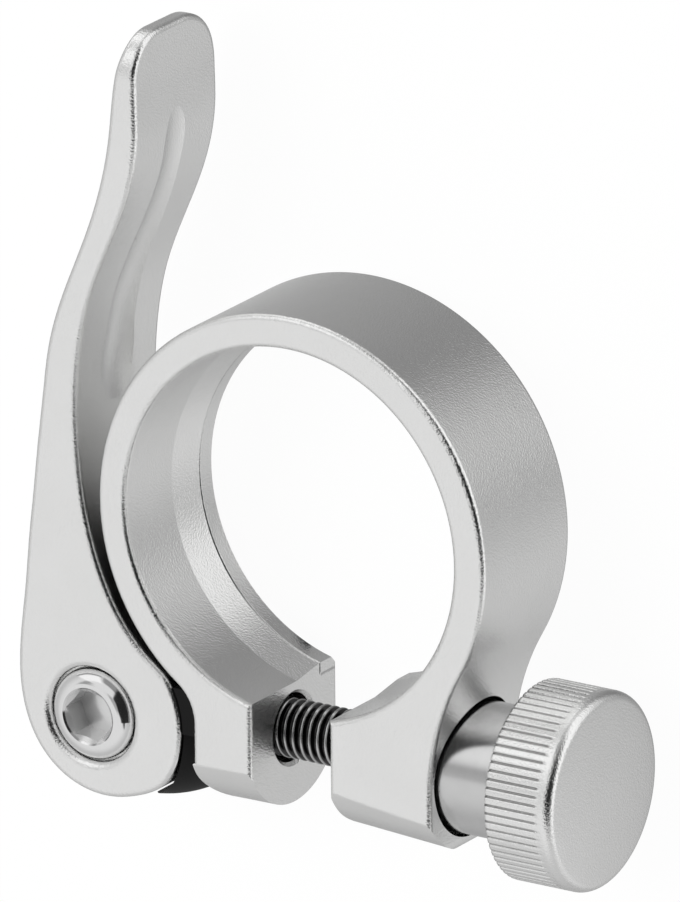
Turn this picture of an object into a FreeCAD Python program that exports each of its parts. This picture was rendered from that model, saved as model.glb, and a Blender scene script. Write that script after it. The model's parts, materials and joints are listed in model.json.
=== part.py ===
# Quick-release seatpost clamp: a split collar with two ears, drawn together by a skewer
# that has a cam lever on one end and a knurled thumb nut on the other. All sizes are millimetres.
#
# Frame: the origin is the bore's centre at half the collar's height. +Z is the bore's axis,
# away from the lip. +X runs along the skewer from the lever to the nut, and +Y runs
# from the ears across the ring, which is the way the closed lever's handle points.
import FreeCAD, Part
import math
import os

V = FreeCAD.Vector
X_AXIS, Y_AXIS, Z_AXIS = V(1, 0, 0), V(0, 1, 0), V(0, 0, 1)

# Collar
bore_radius = 15.9            # for a seat tube of 31.8 mm
collar_wall = 2.85
ring_shift = 0.2              # outside's centre along +X, which leaves more metal on the nut's side
collar_height = 13.2
lip_step = 0.5                # how far the lip stands inside the bore
lip_height = 2.7              # straight part of the lip, its chamfer included
lip_taper_height = 3.4        # cone between the bore and the lip
lip_chamfer = 0.9
collar_edge_round = 0.5
split_width = 7.6
skewer_web = 0.55             # metal left between the bore and the skewer's hole

# Ears
lever_ear_length = 5.7        # along X, from the split to the outer face
nut_ear_length = 9.8
lever_ear_blend = 4.0         # concave radius from the ring to the ear
nut_ear_blend = 22.0
ear_foot_beyond = 0.6         # how much the radius of the ears' round underside exceeds half the height
ear_foot_rise = 0.8           # height of that radius' centre over the skewer
lever_ear_flare = 0.01        # growth of that radius for each millimetre of ear
nut_ear_flare = 0.06
lever_ear_corner = 3.5        # rounding of the lowest corner at the outer face
nut_ear_corner = 1.3
nut_ear_split_corner = 2.5    # rounding of the lowest corner at the split

# Skewer
rod_radius = 2.5              # M5
rod_hole_clearance = 0.45
rod_end_chamfer = 0.5
rod_end_sunk = 0.9            # rod's end below the pivot pin's far side, clear of the lever's bore
rod_mouth_radius = 3.25       # countersink of the lever ear's hole at the split
thread_fit = 0.05             # radial gap of threads and of turning fits

# Pivot pin
pin_radius = 3.5
pin_head_radius = 3.95
pin_head_proud = 0.4          # head above the lever's face
pin_head_round = 1.35
pin_recess_depth = 1.6        # recess in the lever's face for the head
pin_recess_gap = 0.15         # radial
pin_recess_round = 0.7        # rim of the recess
pin_end_chamfer = 0.4
pin_end_sunk = 0.2            # plain end below the lever's other face
hex_key = 4.0                 # across flats
hex_depth = 2.4
hex_mouth_radius = 2.5
hex_turn = -10.0              # degrees, from a corner on the skewer's axis

# Cam lever
lever_depth = 12.4            # along Z
cam_radius = 7.9
cam_offset = (0.9, 0.2)       # cam's centre from the pivot with the lever closed
cam_arc = (-38.0, 28.0)       # degrees, the part of the outline that bears on the saddle
heel = ((-54.0, 7.72), (-78.0, 7.03), (-114.0, 6.45), (-150.0, 6.35), (176.0, 6.9))
throat = (5.9, 5.8)          # point of the outline between the cam and the handle
# Handle's stations: height over the pivot, offset of its middle along X, thickness.
handle = ((10.3, -2.1, 8.7), (14.4, -2.75, 6.6), (18.5, -3.0, 5.1), (22.8, -3.0, 4.1),
          (27.1, -2.78, 3.4), (31.5, -2.28, 3.1), (36.0, -1.1, 2.68), (40.7, 0.83, 2.6),
          (45.2, 2.57, 2.82), (50.6, 3.71, 2.75), (55.4, 4.0, 2.1), (59.3, 4.4, 1.65))
lever_tip_upper_corner = 3.7  # corner of the tip on the side of +Z, seen along X
lever_tip_lower_corner = 5.0
lever_edge_round = 0.5
lever_slot_gap = 0.3          # beside the rod
scoop_radius = 5.5            # section of the thumb scoop
scoop_start, scoop_end = 26.2, 52.5   # heights over the pivot
scoop_depth, scoop_end_depth = 0.5, 0.15
scoop_lead = 2.2              # length over which the scoop reaches its depth

# Cam saddle
saddle_thickness = 1.28       # at its thinnest, on the skewer's axis
saddle_depth = 12.2           # along Z
saddle_rise = 3.9             # top edge over the skewer
# Round underside: distance from the ear's face and radius about the skewer.
saddle_foot = ((0.0, 5.0), (2.9, 6.75), (7.0, 7.65))
saddle_blend_gap = 0.1        # between the saddle and the ear's blend
cam_gap = 0.2                 # between cam and saddle

# Thumb nut and its thrust sleeve
nut_head_radius = 8.4
nut_head_length = 6.95
nut_hub_radius = 4.0
nut_edge_round = 0.9
nut_crown = 0.45              # height of the domed end
nut_back_chamfer = 0.3
nut_end_wall = 1.0            # closed end beyond the thread
nut_rod_room = 0.5            # between the rod's end and the bottom of the thread
knurl_ridges = 72
knurl_depth = 0.22
knurl_groove_share = 0.42     # of the pitch
knurl_length = 5.05
sleeve_radius = 5.6
sleeve_length = 9.9
sleeve_flange_radius = 5.95
sleeve_flange_length = 0.5
sleeve_edge_round = 0.25
hub_gap = 0.1                 # radial, between hub and sleeve
thrust_gap = 0.1              # along X, at each end of the sleeve
hub_end_gap = 0.4             # between the hub's end and the counterbore's floor
counterbore_depth = 4.0
counterbore_gap = 0.35        # radial, around the sleeve

# Places that follow from the sizes
outer_radius = bore_radius + collar_wall
ring_centre = V(ring_shift, 0, 0)
half_height = collar_height / 2
half_split = split_width / 2
ear_foot_radius = half_height + ear_foot_beyond
rod_hole_radius = rod_radius + rod_hole_clearance
skewer_y = -(bore_radius + skewer_web + rod_hole_radius)
lever_ear_x = -(half_split + lever_ear_length)
nut_ear_x = half_split + nut_ear_length
foot_y = skewer_y + ear_foot_rise
pivot = V(lever_ear_x - saddle_thickness - cam_gap - cam_radius - cam_offset[0], skewer_y, 0)
cam_centre = pivot + V(cam_offset[0], cam_offset[1], 0)
half_lever = lever_depth / 2
recess_floor = half_lever - pin_recess_depth
counterbore_radius = sleeve_radius + counterbore_gap
counterbore_floor = nut_ear_x - counterbore_depth
sleeve_start = counterbore_floor + thrust_gap
sleeve_end = sleeve_start + sleeve_length
nut_back = sleeve_end + thrust_gap
nut_end = nut_back + nut_head_length
rod_end = nut_end - nut_end_wall - nut_rod_room
thread_hole_radius = rod_radius + thread_fit
MARGIN = 5.0                  # how far a cutting tool runs past the metal
TOLERANCE = 1e-4              # for telling where an edge lies


def cylinder_x(radius, x0, x1, y=skewer_y):
    return Part.makeCylinder(radius, x1 - x0, V(x0, y, 0), X_AXIS)


def cone_x(radius0, radius1, x0, x1, y=skewer_y):
    return Part.makeCone(radius0, radius1, x1 - x0, V(x0, y, 0), X_AXIS)


def cylinder_z(radius, z0, z1, x=0.0, y=0.0):
    return Part.makeCylinder(radius, z1 - z0, V(x, y, z0), Z_AXIS)


def box(x0, x1, y0, y1, z0, z1):
    return Part.makeBox(x1 - x0, y1 - y0, z1 - z0, V(x0, y0, z0))


def turned_z(profile, centre=V(0, 0, 0)):
    """Solid of revolution about Z through centre, from (radius, z) points that start and end at radius 0."""
    wire = Part.makePolygon([centre + V(r, 0, z) for r, z in profile + profile[:1]])
    return Part.Face(wire).revolve(centre, Z_AXIS, 360)


def turned_x(profile):
    """Solid of revolution about the skewer's axis, from a closed list of (x, radius) points."""
    wire = Part.makePolygon([V(x, skewer_y + r, 0) for x, r in profile + profile[:1]])
    return Part.Face(wire).revolve(V(0, skewer_y, 0), X_AXIS, 360)


def on_plane(edge, axis, value):
    """True if the whole edge lies in the plane where the coordinate named by axis has the value."""
    low, high = getattr(edge.BoundBox, axis + "Min"), getattr(edge.BoundBox, axis + "Max")
    return abs(low - value) < TOLERANCE and abs(high - value) < TOLERANCE


def blend_centre(side, outer_x, blend):
    """Centre of the concave arc that touches the ring and the ear's outer face."""
    x = outer_x + side * blend
    return V(x, -math.sqrt((outer_radius + blend) ** 2 - (x - ring_shift) ** 2), 0)


def ear_outline(side, outer_x, under, blend):
    """Face in the XY plane: the ear from split to outer_x, with its concave blend into the ring."""
    centre = blend_centre(side, outer_x, blend)
    on_ring = ring_centre + (centre - ring_centre).normalize() * outer_radius
    on_ear = V(outer_x, centre.y, 0)
    middle = centre - (centre - (on_ring + on_ear) / 2).normalize() * blend
    inside = V(side * half_split, -(bore_radius + collar_wall / 2), 0)
    corners = [on_ring, inside, V(side * half_split, under, 0), V(outer_x, under, 0), on_ear]
    sides = [Part.LineSegment(a, b).toShape() for a, b in zip(corners, corners[1:])]
    return Part.Face(Part.Wire(sides + [Part.Arc(on_ear, middle, on_ring).toShape()]))


def make_ear(side, length, blend, flare, corners):
    """One ear, with a flared cone about an axis along X as its underside.

    corners lists the x and the rounding of each low edge that is rounded.
    """
    outer_x = side * (half_split + length)
    under = foot_y - ear_foot_radius - flare * length
    block = ear_outline(side, outer_x, under, blend).extrude(V(0, 0, collar_height))
    block.translate(V(0, 0, -half_height))
    for x, rounding in corners:
        low_edge = [e for e in block.Edges if on_plane(e, "X", x) and on_plane(e, "Y", under)]
        block = block.makeFillet(rounding, low_edge)
    reach = length + MARGIN
    foot = Part.makeCone(ear_foot_radius, ear_foot_radius + flare * reach, reach,
                         V(side * half_split, foot_y, 0), V(side, 0, 0))
    above = box(-2 * outer_radius, 2 * outer_radius, foot_y, 0, -half_height, half_height)
    return block.common(foot.fuse(above)).removeSplitter()


def bore_tool():
    lip_top = -half_height + lip_height
    lip_radius = bore_radius - lip_step
    profile = [(0, half_height + MARGIN), (bore_radius, half_height + MARGIN),
               (bore_radius, lip_top + lip_taper_height), (lip_radius, lip_top),
               (lip_radius, -half_height + lip_chamfer),
               (lip_radius + lip_chamfer + MARGIN, -half_height - MARGIN), (0, -half_height - MARGIN)]
    return turned_z(profile)


def make_collar():
    ring = cylinder_z(outer_radius, -half_height, half_height, ring_shift)
    lever_corners = [(lever_ear_x, lever_ear_corner)]
    lever_ear = make_ear(-1, lever_ear_length, lever_ear_blend, lever_ear_flare, lever_corners)
    nut_corners = [(half_split, nut_ear_split_corner), (nut_ear_x, nut_ear_corner)]
    nut_ear = make_ear(1, nut_ear_length, nut_ear_blend, nut_ear_flare, nut_corners)
    body = ring.fuse([lever_ear, nut_ear])
    body = body.cut(box(-half_split, half_split, -2 * outer_radius, 0, -half_height, half_height))
    body = body.cut(bore_tool()).removeSplitter()
    rims = [e for e in body.Edges if on_plane(e, "Z", half_height) or on_plane(e, "Z", -half_height)]
    body = body.makeFillet(collar_edge_round, rims)
    body = body.cut(cylinder_x(rod_hole_radius, lever_ear_x - MARGIN, nut_ear_x + MARGIN))
    body = body.cut(cylinder_x(counterbore_radius, counterbore_floor, nut_ear_x + MARGIN))
    mouth = rod_mouth_radius - rod_hole_radius
    return body.cut(cone_x(rod_hole_radius, rod_mouth_radius, -half_split - mouth, -half_split))


def make_skewer_rod():
    start = pivot.x - pin_radius + rod_end_sunk
    tip = rod_radius - rod_end_chamfer
    profile = [(start, 0), (start, tip), (start + rod_end_chamfer, rod_radius),
               (rod_end - rod_end_chamfer, rod_radius), (rod_end, tip), (rod_end, 0)]
    return turned_x(profile)


def hexagon_tool(z0, z1):
    corner = hex_key / 2 / math.cos(math.radians(30))
    angles = [math.radians(60 * i + hex_turn) for i in range(7)]
    wire = Part.makePolygon([pivot + V(corner * math.cos(a), corner * math.sin(a), z0) for a in angles])
    return Part.Face(wire).extrude(V(0, 0, z1 - z0))


def make_pivot_pin():
    top = half_lever + pin_head_proud
    end = -half_lever + pin_end_sunk
    profile = [(0, end), (pin_radius - pin_end_chamfer, end), (pin_radius, end + pin_end_chamfer),
               (pin_radius, recess_floor), (pin_head_radius, recess_floor), (pin_head_radius, top), (0, top)]
    pin = turned_z(profile, pivot)
    rim = [e for e in pin.Edges if on_plane(e, "Z", top)]
    pin = pin.makeFillet(pin_head_round, rim)
    mouth_depth = hex_mouth_radius - hex_key / 2
    mouth_floor = pivot + V(0, 0, top - mouth_depth)
    mouth = Part.makeCone(hex_key / 2, hex_mouth_radius, mouth_depth, mouth_floor, Z_AXIS)
    pin = pin.cut(hexagon_tool(top - hex_depth, top + MARGIN).fuse(mouth))
    reach = pin_radius + MARGIN
    return pin.cut(cylinder_x(thread_hole_radius, pivot.x - reach, pivot.x + reach))


def spline(points, start_tangent, end_tangent):
    """Smooth curve through the points, with its parameter running along the chords."""
    along = [0.0]
    for a, b in zip(points, points[1:]):
        along.append(along[-1] + a.distanceToPoint(b))
    curve = Part.BSplineCurve()
    curve.interpolate(Points=points, Parameters=along, InitialTangent=start_tangent,
                      FinalTangent=end_tangent, Scale=False)
    return curve


def cam_point(degrees):
    a = math.radians(degrees)
    return cam_centre + V(math.cos(a), math.sin(a), 0) * cam_radius


def along_cam(degrees):
    a = math.radians(degrees)
    return V(-math.sin(a), math.cos(a), 0)


def handle_side(sign):
    """Points of one long side of the handle: +1 is the side that faces the ring."""
    return [pivot + V(middle + sign * thickness / 2, height, 0) for height, middle, thickness in handle]


def inner_side_curve():
    points = [cam_point(cam_arc[1]), pivot + V(throat[0], throat[1], 0)] + handle_side(1)
    return spline(points, along_cam(cam_arc[1]), Y_AXIS)


def lever_outline():
    polar = [(math.radians(a), r) for a, r in heel]
    heel_points = [pivot + V(r * math.cos(a), r * math.sin(a), 0) for a, r in polar]
    inner = inner_side_curve()
    outer = spline([cam_point(cam_arc[0])] + heel_points + handle_side(-1), -along_cam(cam_arc[0]), Y_AXIS)
    cam = Part.Arc(cam_point(cam_arc[0]), cam_point(sum(cam_arc) / 2), cam_point(cam_arc[1]))
    tip = Part.LineSegment(inner.EndPoint, outer.EndPoint)
    edges = [curve.toShape() for curve in (cam, inner, tip, outer)]
    return Part.Face(Part.Wire(Part.__sortEdges__(edges)))


def lever_rims(body):
    """Edges that run round the lever's two faces and across its tip, without the smooth seams."""
    tip_y = pivot.y + handle[-1][0]
    rims = []
    for edge in body.Edges:
        size = edge.BoundBox
        along_x = size.YLength < TOLERANCE and size.ZLength < TOLERANCE
        along_z = size.XLength < TOLERANCE and size.YLength < TOLERANCE
        if not along_x and not (along_z and size.YMin < tip_y - TOLERANCE):
            rims.append(edge)
    return rims


def on_recess(edge):
    """True for a circle about the pivot with the recess' radius."""
    size = edge.BoundBox
    width = 2 * (pin_head_radius + pin_recess_gap)
    return abs(size.XLength - width) < TOLERANCE and abs(size.YLength - width) < TOLERANCE


def scoop_tool():
    """Round rod whose path follows the handle's inner side and dips into it by the scoop's depth."""
    side = inner_side_curve()
    heights = [scoop_start, scoop_start + scoop_lead, scoop_end - scoop_lead, scoop_end]
    depths = [-scoop_depth, scoop_depth, scoop_end_depth, -scoop_end_depth]
    steps = 7
    first, last = heights[1], heights[2]
    for i in range(1, steps):
        share = i / steps
        heights.insert(1 + i, first + share * (last - first))
        depths.insert(1 + i, scoop_depth + share * (scoop_end_depth - scoop_depth))
    path = []
    for height, depth in zip(heights, depths):
        level = Part.LineSegment(pivot + V(-cam_radius, height, 0), pivot + V(2 * cam_radius, height, 0))
        hit = side.intersect(level)[0]
        u = side.parameter(V(hit.X, hit.Y, hit.Z))
        along = side.tangent(u)[0]
        outward = V(along.y, -along.x, 0)
        path.append(V(hit.X, hit.Y, hit.Z) + outward * (scoop_radius - depth))
    curve = Part.BSplineCurve()
    curve.interpolate(path)
    start = curve.tangent(curve.FirstParameter)[0]
    section = Part.Wire(Part.makeCircle(scoop_radius, path[0], start))
    return Part.Wire(curve.toShape()).makePipeShell([section], True, False)


def make_cam_lever():
    body = lever_outline().extrude(V(0, 0, lever_depth))
    body.translate(V(0, 0, -half_lever))
    tip_y = pivot.y + handle[-1][0]
    for side, rounding in ((1, lever_tip_upper_corner), (-1, lever_tip_lower_corner)):
        corner = [e for e in body.Edges if on_plane(e, "Y", tip_y) and on_plane(e, "Z", side * half_lever)]
        body = body.makeFillet(rounding, corner)
    body = body.makeFillet(lever_edge_round, lever_rims(body))
    body = body.cut(scoop_tool())
    body = body.cut(cylinder_z(pin_radius + thread_fit, -half_lever, half_lever, pivot.x, pivot.y))
    recess = cylinder_z(pin_head_radius + pin_recess_gap, recess_floor, half_lever, pivot.x, pivot.y)
    body = body.cut(recess)
    rim = [e for e in body.Edges if on_plane(e, "Z", half_lever) and on_recess(e)]
    body = body.makeFillet(pin_recess_round, rim)
    slot = rod_radius + lever_slot_gap
    reach = 2 * cam_radius
    return body.cut(box(pivot.x - reach, pivot.x + reach, pivot.y - reach, pivot.y + slot, -slot, slot))


def saddle_foot_tool():
    """Solid of revolution about the skewer, with the arc through the points of saddle_foot as its side."""
    arc = [V(lever_ear_x - along, skewer_y + radius, 0) for along, radius in saddle_foot]
    corners = [arc[2], V(arc[2].x, skewer_y, 0), V(arc[0].x, skewer_y, 0), arc[0]]
    sides = [Part.LineSegment(a, b).toShape() for a, b in zip(corners, corners[1:])]
    return Part.Face(Part.Wire([Part.Arc(*arc).toShape()] + sides)).revolve(corners[2], X_AXIS, 360)


def make_cam_saddle():
    """Pad between cam and ear: flat against the ear, following its blend, and hollowed for the cam."""
    half = saddle_depth / 2
    top = skewer_y + saddle_rise
    centre = blend_centre(-1, lever_ear_x, lever_ear_blend)
    behind_blend = cylinder_z(lever_ear_blend - saddle_blend_gap, -half, half, centre.x, centre.y)
    inner_x = centre.x + lever_ear_blend - saddle_blend_gap
    upper = box(pivot.x, centre.x, centre.y, top, -half, half).fuse(
        behind_blend.common(box(centre.x, inner_x, centre.y, top, -half, half)))
    lower = box(pivot.x, lever_ear_x, skewer_y - 2 * saddle_rise, centre.y, -half, half)
    block = lower.fuse(upper).removeSplitter()
    block = block.cut(cylinder_z(cam_radius + cam_gap, -half, half, cam_centre.x, cam_centre.y))
    above = box(pivot.x, lever_ear_x, skewer_y, top, -half, half)
    saddle = block.common(saddle_foot_tool().fuse(above)).removeSplitter()
    return saddle.cut(cylinder_x(rod_hole_radius, pivot.x, lever_ear_x))


def knurled_band(x0, x1):
    """Prism along X whose outline is a ring of flat ridges with a V groove between each two."""
    pitch = 2 * math.pi / knurl_ridges
    root = nut_head_radius - knurl_depth
    points = []
    for i in range(knurl_ridges):
        for share, radius in ((0, nut_head_radius), (1 - knurl_groove_share, nut_head_radius),
                              (1 - knurl_groove_share / 2, root)):
            a = (i + share) * pitch
            points.append(V(x0, skewer_y + radius * math.cos(a), radius * math.sin(a)))
    return Part.Face(Part.makePolygon(points + points[:1])).extrude(V(x1 - x0, 0, 0))


def make_thumb_nut():
    root = nut_head_radius - knurl_depth
    band_start = nut_back + nut_back_chamfer
    band_end = band_start + knurl_length
    back = cone_x(root - nut_back_chamfer, root, nut_back, band_start)
    dome_radius = (nut_head_radius ** 2 + nut_crown ** 2) / (2 * nut_crown)
    dome = Part.makeSphere(dome_radius, V(nut_end - dome_radius, skewer_y, 0))
    front = cylinder_x(nut_head_radius, band_end, nut_end).common(dome)
    rim = [e for e in front.Edges if on_plane(e, "X", nut_end - nut_crown)]
    front = front.makeFillet(nut_edge_round, rim)
    hub = cylinder_x(nut_hub_radius, counterbore_floor + hub_end_gap, nut_back)
    nut = back.fuse([knurled_band(band_start, band_end), front, hub])
    return nut.cut(cylinder_x(thread_hole_radius, counterbore_floor, nut_end - nut_end_wall))


def make_thrust_sleeve():
    inner = nut_hub_radius + hub_gap
    sleeve = cylinder_x(sleeve_radius, sleeve_start, sleeve_end - sleeve_flange_length)
    leading = [e for e in sleeve.Edges if on_plane(e, "X", sleeve_start)]
    sleeve = sleeve.makeFillet(sleeve_edge_round, leading)
    flange = cylinder_x(sleeve_flange_radius, sleeve_end - sleeve_flange_length, sleeve_end)
    return sleeve.fuse(flange).cut(cylinder_x(inner, sleeve_start - MARGIN, sleeve_end + MARGIN))


PARTS = {
    "collar": make_collar,
    "skewer_rod": make_skewer_rod,
    "pivot_pin": make_pivot_pin,
    "cam_lever": make_cam_lever,
    "cam_saddle": make_cam_saddle,
    "thrust_sleeve": make_thrust_sleeve,
    "thumb_nut": make_thumb_nut,
}


def main():
    os.makedirs("parts", exist_ok=True)
    for name, make in PARTS.items():
        shape = make()
        solid = shape.Solids[0]
        print(name, "solids", len(shape.Solids), "valid", solid.isValid(), "volume", round(solid.Volume, 1))
        solid.exportStep(os.path.join("parts", name + ".step"))


if __name__ == "__main__":
    main()
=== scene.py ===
# %% [markdown]
# A quick-release seatpost clamp. The turned and milled pieces come in at their real size, and
# this script gives each surface the finish that it has on the real clamp. It adds the thread on
# the skewer's rod and the fine ridges on the thumb nut, and then sets up a small photographer's
# studio round the clamp. The first step loads the pieces, keeps the box that they fill, and
# measures the rod, because later steps need the skewer's axis and radius.

# %% Load the frame
import json
import math

import bmesh
import bpy
from mathutils import Matrix, Vector

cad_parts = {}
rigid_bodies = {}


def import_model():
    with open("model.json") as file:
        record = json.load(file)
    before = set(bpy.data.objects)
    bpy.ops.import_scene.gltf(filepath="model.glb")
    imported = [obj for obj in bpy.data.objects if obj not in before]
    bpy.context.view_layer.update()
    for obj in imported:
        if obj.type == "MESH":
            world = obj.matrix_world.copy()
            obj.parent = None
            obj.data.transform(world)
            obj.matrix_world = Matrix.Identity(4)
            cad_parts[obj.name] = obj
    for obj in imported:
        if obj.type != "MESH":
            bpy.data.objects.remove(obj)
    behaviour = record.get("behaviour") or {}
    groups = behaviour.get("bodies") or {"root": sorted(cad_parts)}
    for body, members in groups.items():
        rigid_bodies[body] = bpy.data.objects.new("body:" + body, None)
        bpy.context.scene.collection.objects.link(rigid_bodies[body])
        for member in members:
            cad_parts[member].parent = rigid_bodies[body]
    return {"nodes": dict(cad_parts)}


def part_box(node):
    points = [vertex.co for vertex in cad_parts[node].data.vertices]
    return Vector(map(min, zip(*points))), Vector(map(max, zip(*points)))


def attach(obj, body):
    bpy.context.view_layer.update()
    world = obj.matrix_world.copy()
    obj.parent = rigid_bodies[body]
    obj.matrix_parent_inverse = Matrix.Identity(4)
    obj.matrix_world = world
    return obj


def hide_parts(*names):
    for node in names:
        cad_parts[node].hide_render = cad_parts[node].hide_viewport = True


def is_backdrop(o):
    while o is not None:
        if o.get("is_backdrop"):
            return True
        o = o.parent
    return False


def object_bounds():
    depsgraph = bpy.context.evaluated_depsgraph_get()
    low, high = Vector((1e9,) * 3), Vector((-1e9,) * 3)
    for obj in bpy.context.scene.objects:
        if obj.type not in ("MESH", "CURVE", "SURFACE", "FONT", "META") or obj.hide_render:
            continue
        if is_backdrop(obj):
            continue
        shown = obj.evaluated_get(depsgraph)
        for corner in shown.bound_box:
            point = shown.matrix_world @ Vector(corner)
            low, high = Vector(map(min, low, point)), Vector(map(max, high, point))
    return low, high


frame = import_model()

scene = bpy.context.scene
cad_low, cad_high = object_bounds()
MM = 0.001
rod_low, rod_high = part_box("skewer_rod")
rod_radius = (rod_high.z - rod_low.z) / 2
skewer_y = (rod_low.y + rod_high.y) / 2
print("clamp measures", [round(side / MM, 1) for side in cad_high - cad_low], "mm")

# %% [markdown]
# A finish is a small network of nodes. Written by hand, its sums would be lists of Math nodes and
# links that nobody can read, so a number that runs through the network is wrapped in a class of
# its own. Adding, multiplying or dividing such numbers adds the node that does it. It works the
# other way round too, so 1 - mask is a number of the network.

# %% A number in a network
class Number:
    """A number that varies over a surface. Python's operators add the Math nodes for it."""

    def __init__(self, graph, socket):
        self.graph = graph
        self.socket = socket

    def maths(self, operation, other=0.0):
        return self.graph.maths(operation, self, other)

    def __add__(self, other):
        return self.maths("ADD", other)

    __radd__ = __add__

    def __sub__(self, other):
        return self.maths("SUBTRACT", other)

    def __rsub__(self, other):
        return self.graph.maths("SUBTRACT", other, self)

    def __mul__(self, other):
        return self.maths("MULTIPLY", other)

    __rmul__ = __mul__

    def __truediv__(self, other):
        return self.maths("DIVIDE", other)

    def __pow__(self, other):
        return self.maths("POWER", other)

    def smooth(self, low, high):
        """0 below low, 1 above high, and an S-curve between."""
        node = self.graph.add("ShaderNodeMapRange", {"interpolation_type": "SMOOTHSTEP"},
                              {"Value": self, "From Min": low, "From Max": high})
        return Number(self.graph, node.outputs["Result"])

    def swing(self, width):
        """A number from 0 to 1, moved to lie evenly on both sides of zero."""
        return width * (self - 0.5)


# %% [markdown]
# Every other node comes from one method, which takes the node's type, then its settings, then its
# sockets. The same class serves the finishes, the dome of light and the trees that shape a mesh.

# %% A network of nodes
def grey(value, warmth=0.0):
    """A grey in linear light. Warmth above 0 takes a little blue away."""
    return (value, value, value * (1 - warmth), 1)


class Graph:
    """A network of nodes that is being built."""

    def __init__(self, tree):
        self.tree = tree
        tree.nodes.clear()

    def add(self, kind, settings=None, sockets=None):
        """A new node: its settings are set first, then its sockets get their values or links."""
        node = self.tree.nodes.new(kind)
        for name, value in (settings or {}).items():
            if name == "stops":
                self.set_stops(node.color_ramp.elements, value)
            else:
                setattr(node, name, value)
        for name, value in (sockets or {}).items():
            if isinstance(value, Number):
                value = value.socket
            if isinstance(value, bpy.types.NodeSocket):
                self.tree.links.new(value, node.inputs[name])
            else:
                node.inputs[name].default_value = value
        return node

    def set_stops(self, elements, stops):
        """Gives a ramp its stops, from a dictionary of position to grey level."""
        for element in list(elements)[1:]:
            elements.remove(element)
        for i, (position, level) in enumerate(stops.items()):
            element = elements[0] if i == 0 else elements.new(position)
            element.position = position
            element.color = grey(level)

    def number(self, kind, settings=None, sockets=None):
        """The first output of a new node."""
        return Number(self, self.add(kind, settings, sockets).outputs[0])

    def maths(self, operation, first, second=0.0):
        return self.number("ShaderNodeMath", {"operation": operation}, {0: first, 1: second})


# %% [markdown]
# A finish needs a few more things: noise, a blend of two greys, bumps, and masks that follow an
# axis. They all read the piece's own coordinates, in metres, so a pattern has its real size and
# stays where it is when the piece moves.

# %% The network of a finish
class Finish(Graph):
    """The network of a material."""

    def place(self):
        """The point on the piece, in metres."""
        return self.add("ShaderNodeTexCoord").outputs["Object"]

    def from_axis(self, axis, first, second):
        """How far along an axis the point is, and how far from it. The axis runs along X, Y or Z,
        and first and second are its other two coordinates."""
        point = self.add("ShaderNodeSeparateXYZ", None, {0: self.place()})
        across = [Number(self, point.outputs[name]) for name in "XYZ" if name != axis]
        one, two = across[0] - first, across[1] - second
        return Number(self, point.outputs[axis]), (one * one + two * two) ** 0.5

    def noise(self, size, detail=2.0, vector=None):
        """Noise from 0 to 1 whose grains are about that size in metres."""
        return self.number("ShaderNodeTexNoise", None,
                           {"Vector": vector or self.place(), "Scale": 1 / size, "Detail": detail})

    def blend(self, share, first, second):
        """A colour between two greys or colours."""
        node = self.add("ShaderNodeMix", {"data_type": "RGBA"},
                        {"Factor": share, 6: first, 7: second})
        return node.outputs[2]

    def bump(self, height, depth, normal=None):
        """The surface's direction with a relief of that depth, on top of an earlier one."""
        sockets = {"Height": height, "Distance": depth}
        if normal:
            sockets["Normal"] = normal
        return self.add("ShaderNodeBump", None, sockets).outputs["Normal"]

    def surface(self, shader):
        """Ends a material's network in that shader."""
        self.add("ShaderNodeOutputMaterial", None, {"Surface": shader.outputs[0]})


def new_material(name):
    """A material, and the empty network for its finish."""
    material = bpy.data.materials.new(name)
    material.use_nodes = True
    return material, Finish(material.node_tree)


# %% [markdown]
# The collar, the lever and the nut are aluminium, blasted with fine beads and anodised silver.
# The beads leave a skin of fine dimples, which spreads each reflection and makes the bright and
# dark lines along the edges look grainy. A texture picture would stretch over the curved handle,
# so the dimples are noise in space, with their size and depth in millimetres, and a second, much
# larger noise keeps the gloss from being the same all over.

# %% Satin aluminium
DIMPLE_SIZE = 0.16 * MM
DIMPLE_DEPTH = 0.04 * MM
DIMPLE_GLOSS = 0.08             # how much the roughness changes with the dimples
CLOUD_SIZE = 6 * MM
CLOUD_GLOSS = 0.06              # and with the large noise
EDGE_DEPTH = 0.2 * MM           # of an edge that is cut after blasting
SATIN_ROUGHNESS = 0.17
SATIN_GREYS = grey(0.86, warmth=0.008), grey(0.91, warmth=0.004)
# Painted shade: the grey that the bottoms of grooves are darkened towards.
GROOVE_SHADE_GREY = grey(0.42, warmth=0.01)


def satin_aluminium(name, turned_edge=None, painted_shade=None):
    """Blasted aluminium. turned_edge gives the height of an edge cut after blasting, and the last
    argument the share of painted shade in grooves. Both are functions of the graph."""
    material, graph = new_material(name)
    cloud = graph.noise(CLOUD_SIZE)
    dimples = graph.noise(DIMPLE_SIZE, detail=3)
    colour = graph.blend(cloud, *SATIN_GREYS)
    # Painted shade: the colour is darkened where the mask says.
    if painted_shade:
        colour = graph.blend(painted_shade(graph), colour, GROOVE_SHADE_GREY)
    normal = graph.bump(dimples, DIMPLE_DEPTH)
    if turned_edge:
        normal = graph.bump(turned_edge(graph), EDGE_DEPTH, normal)
    skin = graph.add("ShaderNodeBsdfPrincipled", None, {
        "Base Color": colour, "Metallic": 1.0, "Normal": normal,
        "Roughness": SATIN_ROUGHNESS + cloud.swing(CLOUD_GLOSS) + dimples.swing(DIMPLE_GLOSS)})
    graph.surface(skin)
    return material


aluminium = satin_aluminium("satin_aluminium")
print("made", aluminium.name)

# %% [markdown]
# The collar's bore narrows to a lip at the bottom, and where the lip begins the tool has left a
# fine step that catches the light. It could be cut into the ring, but it is finer than anything
# else there, so it is part of the finish: a bump that follows the height and stays inside the
# bore.

# %% The collar's finish
LIP_STEP = -4.1 * MM, -3.8 * MM         # heights between which the step rises
BORE_WALL = 16.2 * MM, 16.6 * MM        # radii between which it fades out


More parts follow.
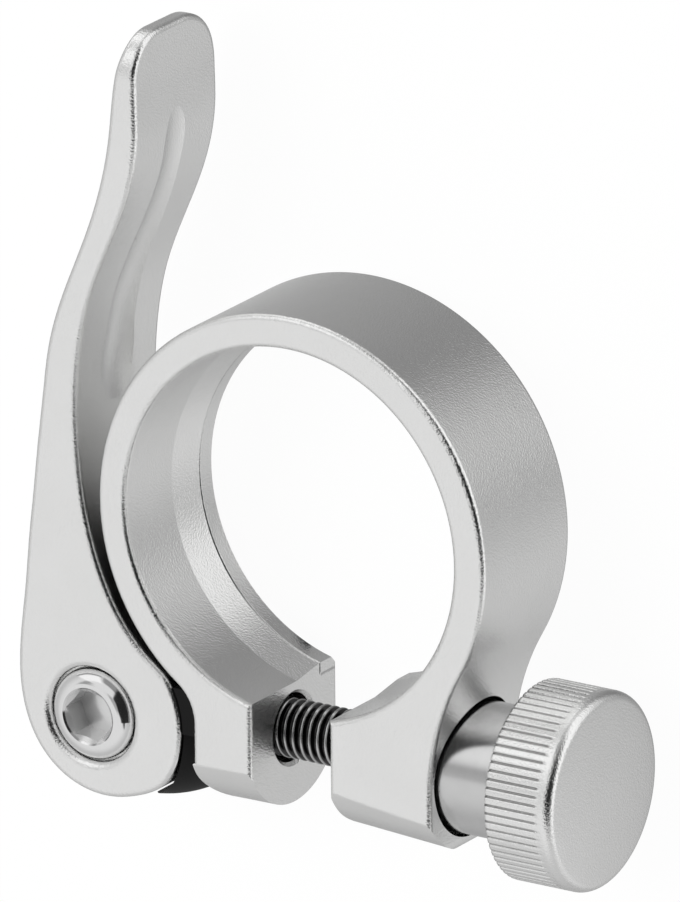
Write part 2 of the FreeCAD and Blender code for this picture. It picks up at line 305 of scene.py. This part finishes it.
def lip_edge(graph):
    """The height of the step, 1 on the lip and 0 above it."""
    height, radius = graph.from_axis("Z", 0.0, 0.0)
    in_bore = 1 - radius.smooth(*BORE_WALL)
    return in_bore * (1 - height.smooth(*LIP_STEP))


collar_aluminium = satin_aluminium("collar_aluminium", turned_edge=lip_edge)
print("made", collar_aluminium.name)

# %% [markdown]
# The bushing under the nut, the lever's pin and the rod are steel. The bushing and the pin are
# turned, which leaves faint rings round their axis. Rings could be a wave texture, but real ones
# aren't even, so they are noise that is stretched: fine along the axis, and eight times as long
# across it.

# %% Steel
RING_WIDTH = 0.12 * MM
RING_STRETCH = 0.12             # the noise's scale across the axis, over its scale along it
RING_GLOSS = 0.05
STEEL_CLOUD_SIZE = 1.5 * MM
STEEL_CLOUD_GLOSS = 0.08
STEEL_CLOUD_TINT = 0.93
# Painted shade: the grey that the thread's grooves are darkened towards.
PAINTED_SHADE_GREY = grey(0.045)
UNPOLISHED_METAL = 0.45         # how much less metallic steel looks where it isn't polished
UNPOLISHED_GLOSS = 0.08


def turned_steel(name, tint, roughness, axis, depth, dark=None, matt=None):
    """Polished steel with faint turning marks across the given axis, 0 for X and 2 for Z. dark and
    matt take the graph and give where the steel has painted shade, and where it isn't polished."""
    material, graph = new_material(name)
    stretch = [RING_STRETCH] * 3
    stretch[axis] = 1.0
    marks = graph.add("ShaderNodeMapping", None, {"Vector": graph.place(), "Scale": stretch})
    rings = graph.noise(RING_WIDTH, vector=marks.outputs[0])
    cloud = graph.noise(STEEL_CLOUD_SIZE, detail=3)
    colour = graph.blend(cloud, grey(tint), grey(tint * STEEL_CLOUD_TINT))
    # Painted shade: the colour is darkened where the mask says.
    if dark:
        colour = graph.blend(dark(graph), colour, PAINTED_SHADE_GREY)
    gloss = roughness + cloud.swing(STEEL_CLOUD_GLOSS) + rings.swing(RING_GLOSS)
    metal = 1.0
    if matt:
        unpolished = matt(graph)
        gloss = gloss + UNPOLISHED_GLOSS * unpolished
        metal = 1 - UNPOLISHED_METAL * unpolished
    steel = graph.add("ShaderNodeBsdfPrincipled", None, {
        "Base Color": colour, "Metallic": metal, "Roughness": gloss,
        "Normal": graph.bump(rings, depth)})
    graph.surface(steel)
    return material


bushing_steel = turned_steel("bushing_steel", tint=0.68, roughness=0.2, axis=0,
                             depth=0.003 * MM)
print("made", bushing_steel.name)

# %% [markdown]
# The pin is polished smoother than the bushing, but its hexagon socket is pressed with a punch,
# which leaves the walls matt. The rod is rolled steel, and painted shade darkens the grooves of
# its thread, while the crests stay bright. Both differ only by how far a point is from an axis, so
# no second material has to be fitted to faces.

# %% The pin's and the rod's finishes
SOCKET_EDGE = 2.3 * MM, 2.4 * MM        # radii between which the matt socket ends
THREAD_SHADE_TOP = 0.01 * MM             # under the crests, where the painted shade begins
THREAD_SHADE_BOTTOM = 0.12 * MM          # and where the steel is fully dark


def hexagon_socket(graph):
    pin_low, pin_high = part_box("pivot_pin")
    radius = graph.from_axis("Z", (pin_low.x + pin_high.x) / 2, skewer_y)[1]
    return 1 - radius.smooth(*SOCKET_EDGE)


# Painted shade in the thread's grooves: 1 deep in a groove, 0 on the crests.
def painted_thread_shade(graph):
    radius = graph.from_axis("X", skewer_y, 0.0)[1]
    return 1 - radius.smooth(rod_radius - THREAD_SHADE_BOTTOM, rod_radius - THREAD_SHADE_TOP)


pin_steel = turned_steel("pin_steel", tint=0.86, roughness=0.12, axis=2,
                         depth=0.0006 * MM, matt=hexagon_socket)
rod_steel = turned_steel("rod_steel", tint=0.55, roughness=0.12, axis=0,
                         depth=0.001 * MM, dark=painted_thread_shade)
print("made", pin_steel.name, "and", rod_steel.name)

# %% [markdown]
# The saddle between the cam and the ear is moulded nylon, black and slightly waxy. A plain black
# would look like a hole in the picture. So it keeps a broad, weak sheen, broken up by the mould's
# fine grain.

# %% Moulded black plastic
MOULD_GRAIN_SIZE = 0.25 * MM
MOULD_GRAIN_DEPTH = 0.004 * MM
WAX_SIZE = 3 * MM
WAX_GLOSS = 0.1
WAX_GREYS = grey(0.003), grey(0.006)
PLASTIC_ROUGHNESS = 0.55
PLASTIC_SHEEN = 0.2


def moulded_plastic(name):
    material, graph = new_material(name)
    grain = graph.noise(MOULD_GRAIN_SIZE, detail=3)
    wax = graph.noise(WAX_SIZE)
    plastic = graph.add("ShaderNodeBsdfPrincipled", None, {
        "Base Color": graph.blend(wax, *WAX_GREYS), "Specular IOR Level": PLASTIC_SHEEN,
        "Roughness": PLASTIC_ROUGHNESS + wax.swing(WAX_GLOSS),
        "Normal": graph.bump(grain, MOULD_GRAIN_DEPTH)})
    graph.surface(plastic)
    return material


saddle_plastic = moulded_plastic("saddle_plastic")
print("made", saddle_plastic.name)

# %% [markdown]
# Five pieces need no new shape. They could be modelled again here, but their solids already have
# the real fillets and chamfers, so they keep their meshes and only get their finish.

# %% Finish the pieces that keep their shape
finishes = {"collar": collar_aluminium, "cam_lever": aluminium, "thrust_sleeve": bushing_steel,
            "pivot_pin": pin_steel, "cam_saddle": saddle_plastic}
for node, material in finishes.items():
    mesh = frame["nodes"][node].data
    mesh.materials.clear()
    mesh.materials.append(material)
print("finished", ", ".join(finishes))

# %% [markdown]
# The other two pieces carry fine forms that repeat by a rule: the thread on the rod and the
# ridges on the nut. Geometry Nodes can follow such a rule at every point of a mesh. A tree gets a
# named input for each of its sizes, runs once on a start mesh, and is then baked, which leaves a
# plain mesh.

# %% A builder for geometry trees
class GeometryTree(Graph):
    """A geometry tree with named inputs, used once on one object and then baked to a mesh."""

    def __init__(self, name, inputs, takes_mesh):
        group = bpy.data.node_groups.new(name, "GeometryNodeTree")
        interface = group.interface
        if takes_mesh:
            interface.new_socket("Geometry", in_out="INPUT", socket_type="NodeSocketGeometry")
        for label, value in inputs.items():
            kind = "NodeSocketInt" if isinstance(value, int) else "NodeSocketFloat"
            interface.new_socket(label, in_out="INPUT", socket_type=kind)
        interface.new_socket("Geometry", in_out="OUTPUT", socket_type="NodeSocketGeometry")
        super().__init__(group)
        self.values = inputs
        self.start = self.add("NodeGroupInput")

    def given(self, label):
        """The input of that name."""
        return Number(self, self.start.outputs[label])

    def position(self):
        """The x, y and z of each point."""
        point = self.add("GeometryNodeInputPosition").outputs[0]
        parts = self.add("ShaderNodeSeparateXYZ", None, {0: point})
        return [Number(self, parts.outputs[axis]) for axis in "XYZ"]

    def vector(self, x, y, z):
        """A vector from three numbers."""
        return self.add("ShaderNodeCombineXYZ", None, {"X": x, "Y": y, "Z": z}).outputs[0]

    def finish(self, geometry, material):
        """Ends the tree with real geometry in one material."""
        real = self.add("GeometryNodeRealizeInstances", None, {"Geometry": geometry})
        painted = self.add("GeometryNodeSetMaterial", None,
                           {"Geometry": real.outputs[0], "Material": material})
        self.add("NodeGroupOutput", None, {"Geometry": painted.outputs[0]})

    def bake(self, name, start_mesh):
        """Runs the tree on a mesh and returns the result as a plain object of that name."""
        carrier = bpy.data.objects.new(name + "_carrier", start_mesh)
        scene.collection.objects.link(carrier)
        modifier = carrier.modifiers.new("tree", "NODES")
        modifier.node_group = self.tree
        for item in self.tree.interface.items_tree:
            if item.in_out == "INPUT" and item.name in self.values:
                modifier[item.identifier] = self.values[item.name]
        evaluated = carrier.evaluated_get(bpy.context.evaluated_depsgraph_get())
        mesh = bpy.data.meshes.new_from_object(evaluated)
        bpy.data.objects.remove(carrier)
        piece = bpy.data.objects.new(name, mesh)
        scene.collection.objects.link(piece)
        return piece


# %% [markdown]
# The rod carries a rolled thread. One turn could be modelled and repeated, but that leaves a seam
# at every joint. A thread's radius depends only on how far along and how far round a point is, so
# a flat grid is rolled up instead, and each of its points gets the radius of the thread at its
# place. The grid has one column more past each end of the rod. That column is drawn in to the
# axis, which closes the end.

# %% The thread's sizes
THREAD_PITCH = 0.8 * MM
THREAD_DEPTH = 0.43 * MM
THREAD_FLANK = 0.12, 0.88       # from groove 0 to crest 1, where the flank starts and ends
ROD_CHAMFER = 0.5 * MM
STEPS_PER_TURN = 14
POINTS_ROUND = 56
ROD_WELD = 0.001 * MM           # points closer than this become one
WHOLE_TURNS = 1000.0            # added to a count of turns, so that it is never negative
rod_length = rod_high.x - rod_low.x
step = THREAD_PITCH / STEPS_PER_TURN

thread = GeometryTree("thread", {
    "Length": rod_length, "Radius": rod_radius, "Pitch": THREAD_PITCH, "Depth": THREAD_DEPTH,
    "Chamfer": ROD_CHAMFER, "Columns": int(rod_length / step) + 3, "Rows": POINTS_ROUND + 1,
    "Start": rod_low.x, "Axis Y": skewer_y}, takes_mesh=False)
print("thread:", round(rod_length / THREAD_PITCH, 1), "turns")

# %% Roll the rod and its thread
length, radius = thread.given("Length"), thread.given("Radius")
grid = thread.add("GeometryNodeMeshGrid", None, {
    "Size X": length + 2 * step, "Size Y": 1.0,
    "Vertices X": thread.given("Columns"), "Vertices Y": thread.given("Rows")})
along, turn, _ = thread.position()
half = length / 2
from_end = half - along.maths("ABSOLUTE")
phase = (along / thread.given("Pitch") - turn + WHOLE_TURNS).maths("FRACT")
ridge = (phase * 2 - 1).maths("ABSOLUTE").smooth(*THREAD_FLANK)
threaded = radius - thread.given("Depth") * (1 - ridge)
chamfered = radius - thread.given("Chamfer") + from_end
closed = threaded.maths("MINIMUM", chamfered) * from_end.maths("GREATER_THAN", -0.5 * step)
inside = along.maths("MAXIMUM", 0 - half).maths("MINIMUM", half)
angle = turn * (2 * math.pi)
placed = thread.add("GeometryNodeSetPosition", None, {
    "Geometry": grid.outputs["Mesh"],
    "Position": thread.vector(inside + half + thread.given("Start"),
                              closed * angle.maths("COSINE") + thread.given("Axis Y"),
                              closed * angle.maths("SINE"))})
welded = thread.add("GeometryNodeMergeByDistance", None,
                    {"Geometry": placed.outputs[0], "Distance": ROD_WELD})
shaded = thread.add("GeometryNodeSetShadeSmooth", None, {"Geometry": welded.outputs[0]})
thread.finish(shaded.outputs[0], rod_steel)
rod = thread.bake("threaded_rod", bpy.data.meshes.new("rod_start"))
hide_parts("skewer_rod")
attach(rod, "clamp")
print("rod:", len(rod.data.polygons), "faces")

# %% [markdown]
# The thumb nut is turned from bar, and its body is made in the same way: a profile is spun round
# the skewer's axis. The profile runs from the hub inside the bushing over the grip to the
# slightly domed end face. The grip gets enough rows of points for the grooves that are pressed
# into it next.

# %% The nut's profile
nut_low, nut_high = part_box("thumb_nut")
THRUST_GAP = 0.1 * MM           # between the bushing and the nut
BORE_GAP = 0.05 * MM            # between the rod and the hub
HUB_RADIUS = 4.0 * MM
BACK_CHAMFER = 0.3 * MM
BACK_STEPS = 3
GRIP_ROWS = 24
EDGE_ROUND = 0.9 * MM
EDGE_STEPS = 12
END_DOME = 0.45 * MM            # how far the end face bulges
DOME_STEPS = 8
nut_radius = nut_high.z
nut_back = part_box("thrust_sleeve")[1].x + THRUST_GAP


def arc(centre, radius, start, end, steps):
    """Points of an arc in the (x, radius) plane, angles in degrees from the axis's direction."""
    turns = [math.radians(start + (end - start) * i / steps) for i in range(steps + 1)]
    return [(centre[0] + radius * math.cos(t), centre[1] + radius * math.sin(t)) for t in turns]


def nut_profile():
    """(x, radius) from the middle of the hub's end, round the outside, to the end face's middle.
    The end face is part of a large ball, and the edge's rounding touches both ball and grip."""
    grip_start = nut_back + BACK_CHAMFER
    back_radius = nut_radius - 2 * BACK_CHAMFER
    ball = (nut_radius ** 2 + END_DOME ** 2) / (2 * END_DOME)
    ball_centre = (nut_high.x - ball, 0.0)
    round_radius = nut_radius - EDGE_ROUND
    round_x = ball_centre[0] + math.sqrt((ball - EDGE_ROUND) ** 2 - round_radius ** 2)
    lean = math.degrees(math.atan2(round_radius, round_x - ball_centre[0]))
    grip = round_x - grip_start
    points = [(nut_low.x, 0.0), (nut_low.x, rod_radius + BORE_GAP), (nut_low.x, HUB_RADIUS),
              (nut_back, HUB_RADIUS), (nut_back, back_radius)]
    points += arc((grip_start, back_radius), BACK_CHAMFER, 180, 120, BACK_STEPS)
    points.append((grip_start, nut_radius))
    points += [(grip_start + grip * i / GRIP_ROWS, nut_radius) for i in range(1, GRIP_ROWS)]
    points += arc((round_x, round_radius), EDGE_ROUND, 90, lean, EDGE_STEPS)
    points += arc(ball_centre, ball, lean, 0, DOME_STEPS)[1:]
    return points


print("nut profile:", len(nut_profile()), "points")

# %% Turn the nut's body
NUT_RIDGES = 72
POINTS_PER_RIDGE = 10
NUT_WELD = 0.0001 * MM          # points closer than this become one


def turned(name, profile, points_round):
    """Spins (x, radius) points round the skewer's axis into a closed mesh."""
    build = bmesh.new()
    angles = [2 * math.pi * i / points_round for i in range(points_round)]
    rings = [[build.verts.new((x, skewer_y + radius * math.cos(a), radius * math.sin(a)))
              for a in angles] for x, radius in profile]
    for first, second in zip(rings, rings[1:]):
        for i in range(points_round):
            j = (i + 1) % points_round
            build.faces.new((first[i], first[j], second[j], second[i]))
    bmesh.ops.remove_doubles(build, verts=build.verts, dist=NUT_WELD)
    bmesh.ops.recalc_face_normals(build, faces=build.faces)
    mesh = bpy.data.meshes.new(name)
    build.to_mesh(mesh)
    build.free()
    mesh.shade_smooth()
    return mesh


nut_body = turned("nut_body", nut_profile(), NUT_RIDGES * POINTS_PER_RIDGE)
print("nut body:", len(nut_body.polygons), "faces")

# %% [markdown]
# A wheel presses the straight grooves into the grip and leaves the ridges between them. Painted
# shade darkens the bottom of the grooves. The darkened share follows the same sizes as the
# grooves, so finish and shape stay together.

# %% The nut's finish
GROOVE_DEPTH = 0.24 * MM
GROOVES_LENGTH = 5.05 * MM
GROOVE_SHADE_TOP = 0.02 * MM           # under the ridges' tops, where the painted shade begins
GROOVE_SHADE_BOTTOM = 0.7 * GROOVE_DEPTH       # and where it is fully dark
GROOVE_SHADE_END = 0.5 * MM, 0.1 * MM          # before the grooves' end, where it fades out
groove_end = nut_back + BACK_CHAMFER + GROOVES_LENGTH


# Painted shade in the grooves: 1 deep in a groove, fading out before the grooves end.
def painted_groove_shade(graph):
    along, radius = graph.from_axis("X", skewer_y, 0.0)
    deep = 1 - radius.smooth(nut_radius - GROOVE_SHADE_BOTTOM, nut_radius - GROOVE_SHADE_TOP)
    return deep * (1 - along.smooth(groove_end - GROOVE_SHADE_END[0], groove_end - GROOVE_SHADE_END[1]))


nut_aluminium = satin_aluminium("nut_aluminium", painted_shade=painted_groove_shade)
print("made", nut_aluminium.name)

# %% [markdown]
# The grooves could be seventy-two cutters taken away from the body, which is slow and leaves
# ragged faces. A second tree moves the body's own points instead: how deep a point sinks depends
# on its angle and on how far along the grip it lies, so each groove runs out before the rounded
# edge.

# %% Press the grooves
GROOVE_SHARE = 0.4              # a groove's width, of the way from ridge to ridge
RUN_OUT = 0.35 * MM
GRIP_SKIN = 0.9, 0.95           # of the nut's radius: points further in stay where they are

knurl = GeometryTree("knurl", {
    "Ridges": NUT_RIDGES, "Depth": GROOVE_DEPTH, "Groove share": GROOVE_SHARE, "End": groove_end,
    "Run-out": RUN_OUT, "Radius": nut_radius, "Axis Y": skewer_y}, takes_mesh=True)
x, y, z = knurl.position()
y = y - knurl.given("Axis Y")
reach = (y * y + z * z) ** 0.5
around = z.maths("ARCTAN2", y) / (2 * math.pi) * knurl.given("Ridges") + WHOLE_TURNS
across = around.maths("FRACT") - 0.5
groove = 1 - (across.maths("ABSOLUTE") / knurl.given("Groove share") * 2).smooth(0.0, 1.0)
on_grip = 1 - (x - knurl.given("End")).smooth(0 - knurl.given("Run-out"), 0.0)
outside = (reach / knurl.given("Radius")).smooth(*GRIP_SKIN)
sink = groove * on_grip * outside * knurl.given("Depth")
pressed = knurl.add("GeometryNodeSetPosition", None, {
    "Geometry": knurl.start.outputs["Geometry"],
    "Offset": knurl.vector(0.0, 0 - y / reach * sink, 0 - z / reach * sink)})
knurl.finish(pressed.outputs[0], nut_aluminium)
nut = knurl.bake("knurled_nut", nut_body)
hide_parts("thumb_nut")
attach(nut, "nut")
print("nut:", len(nut.data.polygons), "faces")

# %% [markdown]
# Metal shows its surroundings more than itself, so the studio is built from what the clamp should
# reflect. The world is a pale dome round the table. Real panels could stand there as bright
# objects, but a panel that is only a patch of the dome, with soft edges, throws no hard
# reflection. The dome's directions are given as azimuth and elevation in degrees. In the picture,
# azimuth 0 lies to the right and azimuth 90 at the top.

# %% Directions of the dome
HALF_TURN = 180.0
world = bpy.data.worlds.new("studio")
scene.world = world
world.use_nodes = True
dome = Graph(world.node_tree)
towards = dome.add("ShaderNodeSeparateXYZ", None,
                   {0: dome.add("ShaderNodeTexCoord").outputs["Generated"]})
east, north, height = [Number(dome, towards.outputs[axis]) for axis in "XYZ"]
elevation = height.maths("ARCSINE") * (HALF_TURN / math.pi)
azimuth = north.maths("ARCTAN2", east) * (HALF_TURN / math.pi)


def panel(light, level, azimuths, elevations, softness):
    """The dome's light with a soft-edged panel of that level in front of it."""
    middle = sum(azimuths) / 2
    half = (azimuths[1] - azimuths[0]) / 2
    turned_away = (azimuth - middle).maths("PINGPONG", HALF_TURN)
    across = 1 - turned_away.smooth(half - softness / 2, half + softness / 2)
    low, high = elevations
    above = elevation.smooth(low - softness / 2, low + softness / 2)
    below = 1 - elevation.smooth(high - softness / 2, high + softness / 2)
    return light + across * above * below * (level - light)


print("dome:", world.name)

# %% [markdown]
# The dome grows brighter from the horizon upwards. Far below the horizon, the metal mirrors the
# ground, whose grey changes slowly round the clamp. A few more panels could draw that, but a ramp
# by azimuth has no edges at all. The grey is darker straight under the clamp.

# %% The sky and the ground
SKY_LEVEL = 0.45
SKY_RISES = [(0.13, -35, 0), (0.24, 10, 52)]    # how much lighter, between which elevations
GROUND_EDGE = -38, -30          # elevations between which the ground ends
UNDER_LEVEL = 0.72              # of the ground's grey, straight under the clamp
UNDER_EDGE = -68, -55
GROUND = {-180: 0.48, -165: 0.56, -150: 0.48, -135: 0.45, -110: 0.47, -94: 0.50, -78: 0.53,
          -62: 0.59, -46: 0.60, -30: 0.58, -18: 0.57, -9: 0.46, -2: 0.37, 5: 0.42, 14: 0.50,
          26: 0.53, 36: 0.50, 46: 0.43, 56: 0.34, 66: 0.29, 76: 0.27, 92: 0.28, 108: 0.32,
          124: 0.335, 140: 0.35, 156: 0.38, 172: 0.44, 180: 0.48}

light = SKY_LEVEL
for rise, low, high in SKY_RISES:
    light = light + rise * elevation.smooth(low, high)
stops = {(a + HALF_TURN) / (2 * HALF_TURN): level for a, level in GROUND.items()}
ground = dome.number("ShaderNodeValToRGB", {"stops": stops},
                     {0: (azimuth + HALF_TURN) / (2 * HALF_TURN)})
ground = ground * (UNDER_LEVEL + (1 - UNDER_LEVEL) * elevation.smooth(*UNDER_EDGE))
light = light + (ground - light) * (1 - elevation.smooth(*GROUND_EDGE))
print("ground:", len(GROUND), "greys")

# %% [markdown]
# Panels of light draw the bright sides of the ring, the ears and the nut. Grey and black flags do
# the opposite: high on the camera's side, they draw the dark lines along the rounded edges. Each
# panel replaces what lies behind it, so the order counts. The camera looks past all of them and
# sees plain white, through Is Camera Ray.

# %% The panels of light and the flags
PANELS = [
    # level, azimuths, elevations, softness of the edges
    (0.95, (4, 62), (-43, -18), 8),             # low, to the upper right
    (0.72, (-64, -22), (-43, -6), 8),           # low, to the lower right
    (1.05, (-30, 78), (-22, 9), 8),             # level, all round the right
    (1.10, (98, 150), (-24, 6), 6),             # level, to the upper left
    (0.25, (98, 150), (9, 15), 5),              # a narrow flag over it
    (1.05, (100, 147), (19, 52), 6),            # high, to the upper left
    (0.35, (150, 186), (51, 61), 6),            # a narrow flag, high on the left
    (0.42, (-180, 180), (80, 95), 6),           # a grey patch straight overhead
    (0.30, (40, 92), (12, 44), 8),              # a grey flag to the upper right
    (0.02, (-40, 10), (38, 80), 7),             # a black flag, high to the lower right
    (0.02, (-24, 54), (14, 80), 7)]             # a black flag round the camera
for level, azimuths, elevations, softness in PANELS:
    light = panel(light, level, azimuths, elevations, softness)
seen = Number(dome, dome.add("ShaderNodeLightPath").outputs["Is Camera Ray"])
sky = dome.add("ShaderNodeBackground", None,
               {"Color": (1, 1, 1, 1), "Strength": seen + (1 - seen) * light})
dome.add("ShaderNodeOutputWorld", None, {"Surface": sky.outputs[0]})
print("panels:", len(PANELS))

# %% [markdown]
# The clamp lies on a pale table, which touches the nut, its lowest piece. The table is a plain
# white surface that keeps a soft shadow. To the camera it is mostly its own white, so the
# picture's ground stays clean. The metal mirrors the dome's lower half instead of the table,
# because an even white would make the metal look flat.

# %% The table
TABLE_SIZE = 3.0                # metres
TABLE_WHITE = 0.8
GLOW_STRENGTH = 1.03
GLOW_SHARE = 0.93               # how much of the table is its own white, to the camera


def table_white():
    material, graph = new_material("table_white")
    camera = Number(graph, graph.add("ShaderNodeLightPath").outputs["Is Camera Ray"])
    matt = graph.add("ShaderNodeBsdfDiffuse", None, {"Color": grey(TABLE_WHITE)})
    glow = graph.add("ShaderNodeEmission", None,
                     {"Color": (1, 1, 1, 1), "Strength": GLOW_STRENGTH})
    graph.surface(graph.add("ShaderNodeMixShader", None, {
        0: camera * GLOW_SHARE, 1: matt.outputs[0], 2: glow.outputs[0]}))
    return material


def flat_sheet(name, corners, height, material):
    """A level sheet with that outline."""
    mesh = bpy.data.meshes.new(name)
    mesh.from_pydata([(x, y, height) for x, y in corners], [], [list(range(len(corners)))])
    mesh.materials.append(material)
    sheet = bpy.data.objects.new(name, mesh)
    scene.collection.objects.link(sheet)
    return sheet


edge = TABLE_SIZE / 2
table = flat_sheet("table", [(-edge, -edge), (edge, -edge), (edge, edge), (-edge, edge)],
                   cad_low.z, table_white())
table.visible_glossy = False
table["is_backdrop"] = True
print("table at", round(cad_low.z / MM, 1), "mm")

# %% [markdown]
# The narrow gap between the lever and the ring would mirror the pale ground below. A black card
# under it is painted shade: it stands in for the shade that falls into the gap, as a
# photographer's card would. This card is cut to follow the ring, and only reflections see it,
# not the camera.

# %% The black card under the gap, for painted shade
CARD_HEIGHT = -6.75 * MM        # just below the ring
CARD_LEFT, CARD_RIGHT, CARD_END = -26 * MM, -6 * MM, -28 * MM
CARD_ARC = 228, 192             # degrees round the bore
CARD_ARC_RADIUS = 17.3 * MM     # under the middle of the ring's wall
CARD_ARC_STEPS = 12
# Painted shade: the card's black is what the metal mirrors in the gap.
GAP_SHADE_BLACK = 0.002


# A black sheet seen only in reflections: painted shade for the gap.
def painted_gap_shade():
    material, graph = new_material("painted_gap_shade")
    graph.surface(graph.add("ShaderNodeBsdfDiffuse", None, {"Color": grey(GAP_SHADE_BLACK)}))
    return material


under_ring = arc((0.0, 0.0), CARD_ARC_RADIUS, *CARD_ARC, CARD_ARC_STEPS)
outline = [(CARD_LEFT, CARD_END), (CARD_RIGHT, CARD_END), (CARD_RIGHT, under_ring[0][1])]
outline += under_ring + [(CARD_LEFT, under_ring[-1][1])]
card = flat_sheet("gap_shade_card", outline, CARD_HEIGHT, painted_gap_shade())
card.visible_camera = card.visible_diffuse = card.visible_shadow = False
card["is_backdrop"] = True
print("card:", len(outline), "corners")

# %% [markdown]
# One large soft lamp, high over the upper left of the picture, models the forms and throws the
# faint shadow under the clamp. The metal doesn't mirror it, because the dome's panels are already
# what the metal shows.

# %% Soft light
LAMP_AZIMUTH, LAMP_ELEVATION = 150, 60
LAMP_DISTANCE = 0.6             # metres
LAMP_SIZE = 0.35
LAMP_WATTS = 0.8


def direction(azimuth, elevation):
    """The unit vector towards an azimuth and an elevation in degrees."""
    a, e = math.radians(azimuth), math.radians(elevation)
    return Vector((math.cos(a) * math.cos(e), math.sin(a) * math.cos(e), math.sin(e)))


lamp = bpy.data.lights.new("key", "AREA")
lamp.shape = "DISK"
lamp.size = LAMP_SIZE
lamp.energy = LAMP_WATTS
to_lamp = direction(LAMP_AZIMUTH, LAMP_ELEVATION)
key = bpy.data.objects.new("key", lamp)
key.visible_glossy = False
key.matrix_world = (Matrix.Translation(to_lamp * LAMP_DISTANCE)
                    @ to_lamp.to_track_quat("Z", "Y").to_matrix().to_4x4())
scene.collection.objects.link(key)
print("lamp:", LAMP_WATTS, "W")

# %% [markdown]
# The photograph was taken with a long lens from well above the table, on the nut's side, and the
# camera is turned so that the lever stands upright in the picture. A long lens from far away
# keeps the ring's two rims nearly the same size, which a short lens from nearby would not.

# %% Camera
VIEW_AZIMUTH = 32.33            # degrees from +X towards +Y
VIEW_ELEVATION = 52.50
VIEW_ROLL = -0.55
LENS = 829.65                   # millimetres, on a sensor of this height
SENSOR = 36
DISTANCE = 1.6973               # metres
AIM = Vector((0.94 * MM, 5.51 * MM, 0))

back = direction(VIEW_AZIMUTH, VIEW_ELEVATION)
right = Vector((0, 1, 0)).cross(back).normalized()
up = back.cross(right)
roll = Matrix.Rotation(math.radians(VIEW_ROLL), 3, back)
axes = Matrix((roll @ right, roll @ up, back)).transposed()
lens = bpy.data.cameras.new("camera")
lens.lens = LENS
lens.sensor_width = SENSOR
lens.clip_start = 0.1           # metres
lens.clip_end = 20
camera = bpy.data.objects.new("camera", lens)
camera.matrix_world = Matrix.Translation(AIM + back * DISTANCE) @ axes.to_4x4()
scene.collection.objects.link(camera)
scene.camera = camera
scene.view_settings.view_transform = "Standard"
print("camera:", round(DISTANCE, 2), "m away")

# %% Sizes, and the end
low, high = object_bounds()
print("visual model measures", [round(side / MM, 1) for side in high - low], "mm")
